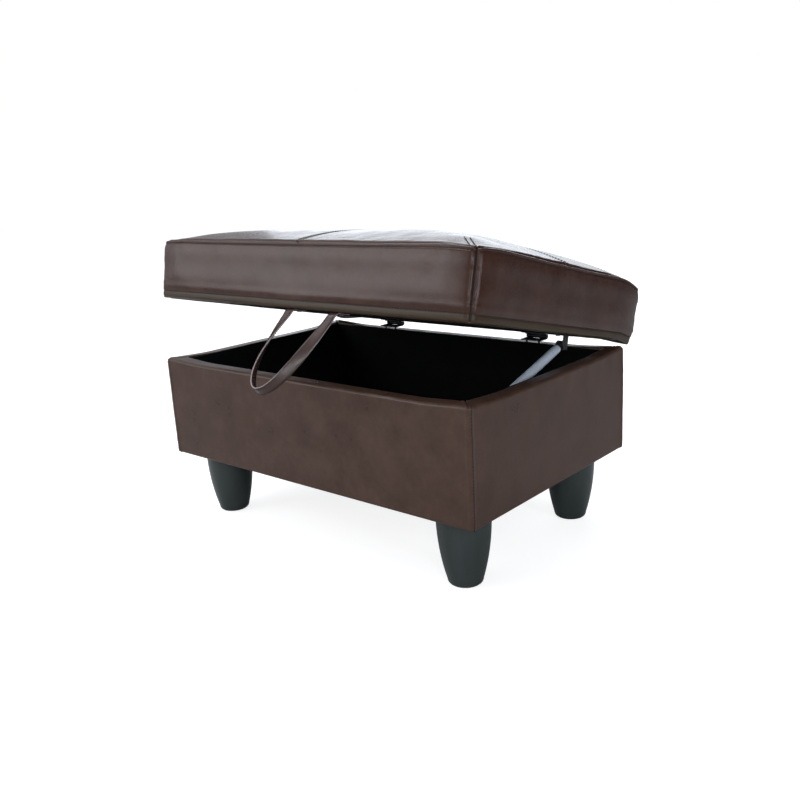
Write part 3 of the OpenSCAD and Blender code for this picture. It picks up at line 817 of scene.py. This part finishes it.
def box_leather():
    """Outline: up the outside, over the rim, down the lip, and back inside the leather."""
    z0, z1 = Z0, Z1
    tuck = 0.030        # how far the leather runs in under the box, and down inside the rim
    edge_r, rim_r, lip_r = 0.006, 0.0055, 0.003
    rim = 0.027         # width of the rim
    thick = 0.0015
    out = [(tuck, z0 + 0.0002)] + between((tuck, z0), (edge_r, z0), 5)
    out += arc(edge_r, z0 + edge_r, edge_r, 270, 180, 6)
    out += between((0, z0 + edge_r), (0, z1 - rim_r), 34)
    out += arc(rim_r, z1 - rim_r, rim_r, 180, 90, 7)
    out += between((rim_r, z1), (rim - lip_r, z1), 8)
    out += arc(rim - lip_r, z1 - lip_r, lip_r, 90, 0, 4)
    out += between((rim, z1 - lip_r), (rim, z1 - tuck), 6)
    out += [(rim, z1 - tuck), (rim - thick, z1 - tuck)]
    out += between((rim - thick, z1 - tuck), (rim - thick, z1 - 0.006), 3)
    out += [(0.0235, z1 - 0.0035), (0.004, z1 - 0.0035), (0.0025, z1 - 0.008)]
    out += between((0.0025, z1 - 0.008), (0.0025, z0 + edge_r), 6)
    out += [(0.004, z0 + 0.002), (tuck, z0 + 0.002)]
    obj, info = ring_mesh("box_leather", out, BOX_W / 2, BOX_D / 2, FRONT_Y + BOX_D / 2, LEATHER)
    co, n = coords(obj), normals(obj)
    prof = np.array(out)
    at = info[:, 2].astype(int)
    u, z = prof[at, 0], prof[at, 1]
    half = np.where(info[:, 0] % 2 == 0, BOX_W / 2, BOX_D / 2)
    corner = half - np.abs(info[:, 1])
    face = u < 0.0015
    near_seam = face | (z > z1 - 0.0075)
    d = np.where(face, 0.0004 + 0.0007 * noise(co, 9, 21) + 0.0003 * noise(co, 27, 22), 0)
    # the sunken corner seam, the swelling beside it and its puckers
    d += np.where(near_seam, groove(corner, width=0.0013, depth=0.0017), 0)
    d += np.where(near_seam, ridge(corner - 0.0045, width=0.003, height=0.0012), 0)
    stripes = noise(np.column_stack([co[:, 0] * 0.1, co[:, 1] * 0.1, co[:, 2]]), 120, 23)
    d += np.where(face, 0.0005 * stripes * np.exp(-(corner / 0.02) ** 2), 0)
    # short waves where the leather is pulled over the rim
    pulled = noise(np.column_stack([co[:, 0], co[:, 1], co[:, 2] * 0.2]), 45, 24)
    d += np.where(face & (z > z1 - 0.06), 0.0006 * pulled * smooth01((z - z1 + 0.06) / 0.05), 0)
    co = co + n * d[:, None]
    # the padded rim sinks a little between its corners
    sag = 0.0042 * smooth01(corner / 0.10)
    upper = z1 - 0.012
    co[:, 2] -= sag * smooth01((z - upper) / 0.009) * np.where(z > upper, 1, 0)
    set_coords(obj, co)
    return obj, info, prof


box, box_info, box_profile = box_leather()


def corner_rows():
    """A line of stitches beside each corner seam of the box, up its face and over the rim."""
    co, n = coords(box), normals(box)
    out = []
    for side in range(4):
        half = BOX_W / 2 if side % 2 == 0 else BOX_D / 2
        here = box_info[:, 0] == side
        places = np.unique(box_info[here, 1])
        place = places[np.argmin(np.abs(places - (-half + 0.0030)))]
        ids = np.nonzero(here & (box_info[:, 1] == place))[0]
        ids = ids[np.argsort(box_info[ids, 2])]
        j = box_info[ids, 2].astype(int)
        ids = ids[(box_profile[j, 0] < 0.0225) & (j < 58) & (j > 5)]
        out += along(co[ids], n[ids], 0.0054, 0.0040)
    return out


box_thread = stitch_mesh("box_stitches", corner_rows())
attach(box, "base")
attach(box_thread, "base")
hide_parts("cover_front", "cover_back", "cover_left", "cover_right")


# ---------------------------------------------------------------- thin cloth
def slab(name, xs, ys, bottom, top, wrinkle, seed, pose=None):
    """A thin closed sheet lying flat between two heights, with soft wrinkles."""
    co, quads = box_grid(xs, ys, np.array([bottom, top]))
    co[:, 2] += wrinkle * (noise(co, 22, seed) + 0.5 * noise(co, 60, seed + 1))
    if pose:
        co = pose(co)
    return make(name, co, quads, LINING)


MARGIN = 0.015      # leather turned in round the lid's lining
xs = np.linspace(-LID_W / 2 + MARGIN, LID_W / 2 - MARGIN, 90)
ys = np.linspace(LID_MID_Y - LID_D / 2 + MARGIN, LID_MID_Y + LID_D / 2 - MARGIN, 62)
lid_under = slab("lid_lining_cloth", xs, ys, LID_Z - 0.0008, LID_Z + 0.0010, 0.0003, 31, lid_pose)
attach(lid_under, "lid")
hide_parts("lid_lining")

WALL = 0.029        # from the outside of the box to its lining
fx0, fx1 = -BOX_W / 2 + WALL, BOX_W / 2 - WALL
fy0, fy1 = FRONT_Y + WALL, FRONT_Y + BOX_D - WALL
floor_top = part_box("lining_floor")[1].z
wall_top = Z1 - 0.005
floor_cloth = slab("floor_lining_cloth", np.linspace(fx0, fx1, 90), np.linspace(fy0, fy1, 60),
                   floor_top - 0.0012, floor_top + 0.0004, 0.0003, 35)
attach(floor_cloth, "base")
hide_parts("lining_floor")


def wall_cloth():
    """One band of lining round the four walls, as a thin closed loop."""
    face, behind = WALL, WALL - 0.0014
    profile = [(face, floor_top)] + between((face, floor_top), (face, wall_top), 14)
    profile += [(face, wall_top), (behind, wall_top)]
    profile += between((behind, wall_top), (behind, floor_top), 14) + [(behind, floor_top)]
    obj, _ = ring_mesh("wall_lining_cloth", profile[::-1], BOX_W / 2, BOX_D / 2, FRONT_Y + BOX_D / 2,
                       LINING, step=0.012, corner_fine=0.004)
    co = coords(obj)
    for axis, seed in ((0, 41), (1, 42)):
        co[:, axis] += 0.0003 * noise(coords(obj), 20, seed)
    set_coords(obj, co)
    return obj


walls = wall_cloth()
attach(walls, "base")
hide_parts("lining_front", "lining_back", "lining_left", "lining_right")

lo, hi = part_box("dust_cover")
dust = slab("dust_cloth", np.linspace(lo.x, hi.x, 70), np.linspace(lo.y, hi.y, 46), lo.z, hi.z - 0.0002,
            0.0002, 37)
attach(dust, "base")
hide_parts("dust_cover")


# ---------------------------------------------------------------- the pull strap
STRAP_W, STRAP_T, STRAP_X = 0.0185, 0.0030, 0.048
STRAP_SLOPE = math.radians(41)
bend = lid_pose([[0, FRONT_Y - 0.004, LID_Z - STRAP_T / 2]])[0]
loop_dir = np.array([0, -math.cos(STRAP_SLOPE), -math.sin(STRAP_SLOPE)])
loop_nor = np.array([0, -math.sin(STRAP_SLOPE), math.cos(STRAP_SLOPE)])
back = lid_pose([[0, FRONT_Y + 0.026, LID_Z - STRAP_T / 2]])[0]
lid_back = (back - bend) / np.linalg.norm(back - bend)


def catmull(points, count):
    """A smooth curve through the points, with the given number of steps between each two."""
    points = [np.asarray(q, float) for q in points]
    points = [2 * points[0] - points[1]] + points + [2 * points[-1] - points[-2]]
    out = []
    for i in range(1, len(points) - 2):
        p0, p1, p2, p3 = points[i - 1:i + 3]
        for k in range(count):
            t = k / count
            out.append(0.5 * (2 * p1 + (p2 - p0) * t + (2 * p0 - 5 * p1 + 4 * p2 - p3) * t * t
                              + (3 * p1 - p0 - 3 * p2 + p3) * t ** 3))
    out.append(points[-2])
    return np.array(out)


# in mm and degrees: across the loop, down the loop (under the lid where negative), and the turn of
# the strap's width about its own line
STRAP_PATH = [
    (52, -29, 0), (52, -15, 0), (52, -3, 0), (51.5, 8, 0), (51, 22, 5), (48, 42, 14), (44, 66, 28),
    (39, 92, 44), (33, 118, 62), (24, 144, 78), (12, 162, 88), (-2, 169, 92), (-16, 165, 98),
    (-30, 151, 106), (-42, 130, 116), (-50, 104, 128), (-54, 78, 142), (-55, 54, 156),
    (-54, 32, 168), (-52.5, 14, 176), (-52, 2, 180), (-52, -10, 180), (-52, -20, 180), (-52, -29, 180)]


def strap_section(cross=9):
    """Outline across the strap, its thickness falling off towards both edges."""
    def half_thick(f):
        return STRAP_T / 2 * (1 - 0.35 * abs(f) ** 6)

    there = [-1 + 2 * k / (cross - 1) for k in range(cross)]
    back_again = [1 - 2 * k / (cross - 1) for k in range(cross)]
    return [(f * STRAP_W / 2, half_thick(f)) for f in there] \
        + [(f * STRAP_W / 2, -half_thick(f)) for f in back_again]


def strap():
    """The twisted loop with both its ends. Also gives its line, width, face and course at each step."""
    steps, cross = 8, 9
    pts = []
    for across, down, _ in STRAP_PATH:
        q = bend + (lid_back * -down if down <= 0 else loop_dir * down) / 1000
        pts.append(np.array([STRAP_X + across / 1000, q[1], q[2]]))
    line = catmull(pts, steps)
    turns = catmull([np.array([turn, 0.0, 0.0]) for _, _, turn in STRAP_PATH], steps)[:, 0]
    course = np.gradient(line, axis=0)
    course /= np.linalg.norm(course, axis=1)[:, None]
    outline = strap_section(cross)
    x_axis = np.array([1.0, 0, 0])
    pts, frames = [], []
    for place, t, turn in zip(line, course, turns):
        # the width starts along X and turns away from the loop's plane
        angle = -math.radians(turn)
        w = math.cos(angle) * x_axis + math.sin(angle) * loop_nor
        w = w - t * float(np.dot(w, t))
        if np.linalg.norm(w) < 0.05:
            w = loop_nor
        w = w / np.linalg.norm(w)
        face = np.cross(t, w)
        frames.append((place, w, face))
        pts += [place + w * a + face * h for a, h in outline]
    m, count = len(outline), len(line)
    faces = []
    for i in range(count - 1):
        for j in range(m):
            a, b = i * m + j, i * m + (j + 1) % m
            faces.append((a, b, b + m, a + m))
    faces.append(tuple(reversed(range(m))))
    faces.append(tuple((count - 1) * m + j for j in range(m)))
    obj = make("pull_strap", pts, faces, STRAP_LEATHER)
    obj.data.materials.append(STRAP_EDGE_PAINTED_SHINE)
    # the faces along both edges get the light edge material, whose light grey is a painted highlight
    for i, poly in enumerate(obj.data.polygons):
        poly.material_index = 1 if i % m in (cross - 1, m - 1) else 0
    return obj, frames


strap_obj, strap_frames = strap()
segments = []
for edge in (-1, 1):
    for upper in (-1, 1):
        pts = [c + w * (edge * (STRAP_W / 2 - 0.0030)) + face * (upper * STRAP_T / 2 * 0.98)
               for c, w, face in strap_frames]
        segments += along(pts, [face * upper for _, _, face in strap_frames], 0.0046, 0.0032)
strap_thread = stitch_mesh("strap_stitches", segments, 0.00055)
for o in (strap_obj, strap_thread):
    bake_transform(o)
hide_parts("strap_ends", "strap_loop")


# ---------------------------------------------------------------- stage, lights and camera
def stage_floor():
    """A pale floor, which the camera sees whiter than it lights the object."""
    mesh = bpy.data.meshes.new("floor")
    far = 14.0
    mesh.from_pydata([(-far, -far, 0), (far, -far, 0), (far, far, 0), (-far, far, 0)], [], [(0, 1, 2, 3)])
    o = bpy.data.objects.new("floor", mesh)
    bpy.context.scene.collection.objects.link(o)
    m, nt, bsdf = material("floor_pale")
    bsdf.inputs["Base Color"].default_value = (0.5, 0.5, 0.5, 1)
    bsdf.inputs["Roughness"].default_value = 0.9
    bsdf.inputs["Specular IOR Level"].default_value = 0.1
    glow = add(nt, "ShaderNodeEmission", Strength=0.8)
    glow.inputs["Color"].default_value = (1, 1, 1, 1)
    both = add(nt, "ShaderNodeAddShader")
    path = add(nt, "ShaderNodeLightPath")
    pick = add(nt, "ShaderNodeMixShader")
    out = next(n for n in nt.nodes if n.bl_idname == "ShaderNodeOutputMaterial")
    nt.links.new(bsdf.outputs[0], both.inputs[0])
    nt.links.new(glow.outputs[0], both.inputs[1])
    nt.links.new(path.outputs["Is Camera Ray"], pick.inputs[0])
    nt.links.new(bsdf.outputs[0], pick.inputs[1])
    nt.links.new(both.outputs[0], pick.inputs[2])
    nt.links.new(pick.outputs[0], out.inputs[0])
    mesh.materials.append(m)


stage_floor()


def area(name, place, target, size, power, color):
    light = bpy.data.lights.new(name, "AREA")
    light.shape = "RECTANGLE"
    light.size, light.size_y = size
    light.energy = power
    light.color = color
    o = bpy.data.objects.new(name, light)
    bpy.context.scene.collection.objects.link(o)
    o.location = place
    d = Vector(target) - Vector(place)
    o.rotation_euler = d.to_track_quat("-Z", "Y").to_euler()


area("key", (-1.9, -2.4, 1.5), (0, 0, 0.3), (2.2, 1.5), 36, (0.97, 0.98, 1.0))
area("top", (-0.9, 0.6, 3.2), (0, 0, 0.2), (2.6, 2.2), 66, (0.93, 0.965, 1.0))
area("fill", (2.7, -0.5, 0.8), (0, 0, 0.4), (0.4, 1.1), 20, (0.9, 0.94, 1.0))
area("front", (1.9, -1.6, 1.4), (0, 0, 0.3), (0.6, 0.6), 10, (0.95, 0.97, 1.0))
area("back", (-1.6, 2.8, 1.3), (0, 0, 0.3), (2.8, 1.6), 26, (0.88, 0.94, 1.0))


def studio_world():
    """White behind the object. What lights it is bright at the front left and dark at the back right."""
    world = bpy.data.worlds.new("studio")
    bpy.context.scene.world = world
    world.use_nodes = True
    nt = world.node_tree
    nt.nodes.clear()
    link = nt.links.new
    out = add(nt, "ShaderNodeOutputWorld")
    seen = add(nt, "ShaderNodeBackground", Strength=1.0)
    seen.inputs["Color"].default_value = (1, 1, 1, 1)
    light = add(nt, "ShaderNodeBackground", Strength=1.0)
    tc = add(nt, "ShaderNodeTexCoord")
    toward = add(nt, "ShaderNodeVectorMath", operation="DOT_PRODUCT")
    toward.inputs[1].default_value = (0.72, 0.66, 0.0)
    link(tc.outputs["Generated"], toward.inputs[0])
    span = add(nt, "ShaderNodeMapRange")
    span.inputs["From Min"].default_value = -1
    link(toward.outputs["Value"], span.inputs["Value"])
    glow = ramp(nt, [(0.0, (0.75, 0.78, 0.82)), (0.45, (0.52, 0.55, 0.6)), (0.72, (0.2, 0.21, 0.23)),
                     (0.9, (0.04, 0.04, 0.05))])
    link(span.outputs[0], glow.inputs[0])
    link(glow.outputs[0], light.inputs["Color"])
    path = add(nt, "ShaderNodeLightPath")
    mix = add(nt, "ShaderNodeMixShader")
    link(path.outputs["Is Camera Ray"], mix.inputs[0])
    link(light.outputs[0], mix.inputs[1])
    link(seen.outputs[0], mix.inputs[2])
    link(mix.outputs[0], out.inputs[0])


studio_world()
bpy.context.scene.view_settings.view_transform = "Standard"

# the photograph's viewing angle
AZ, EL, ROLL = math.radians(41.33), math.radians(14.77), math.radians(-3.13)
CAMERA_RIGHT, CAMERA_FORWARD, CAMERA_UP = 1.1056, 0.9806, 0.538    # from the box's lower front edge
forward = Vector((-math.sin(AZ) * math.cos(EL), math.cos(AZ) * math.cos(EL), -math.sin(EL)))
level = Vector((math.cos(AZ), math.sin(AZ), 0))
upright = level.cross(forward)
right = math.cos(ROLL) * level + math.sin(ROLL) * upright
up = -math.sin(ROLL) * level + math.cos(ROLL) * upright
cam_data = bpy.data.cameras.new("camera")
cam_data.sensor_width = 36
cam_data.lens = 38.796
cam = bpy.data.objects.new("camera", cam_data)
bpy.context.scene.collection.objects.link(cam)
turned = Matrix((right, up, -forward)).transposed().to_4x4()
place = Vector((CAMERA_RIGHT, FRONT_Y - CAMERA_FORWARD, Z0 + CAMERA_UP))
cam.matrix_world = Matrix.Translation(place) @ turned
bpy.context.scene.camera = cam
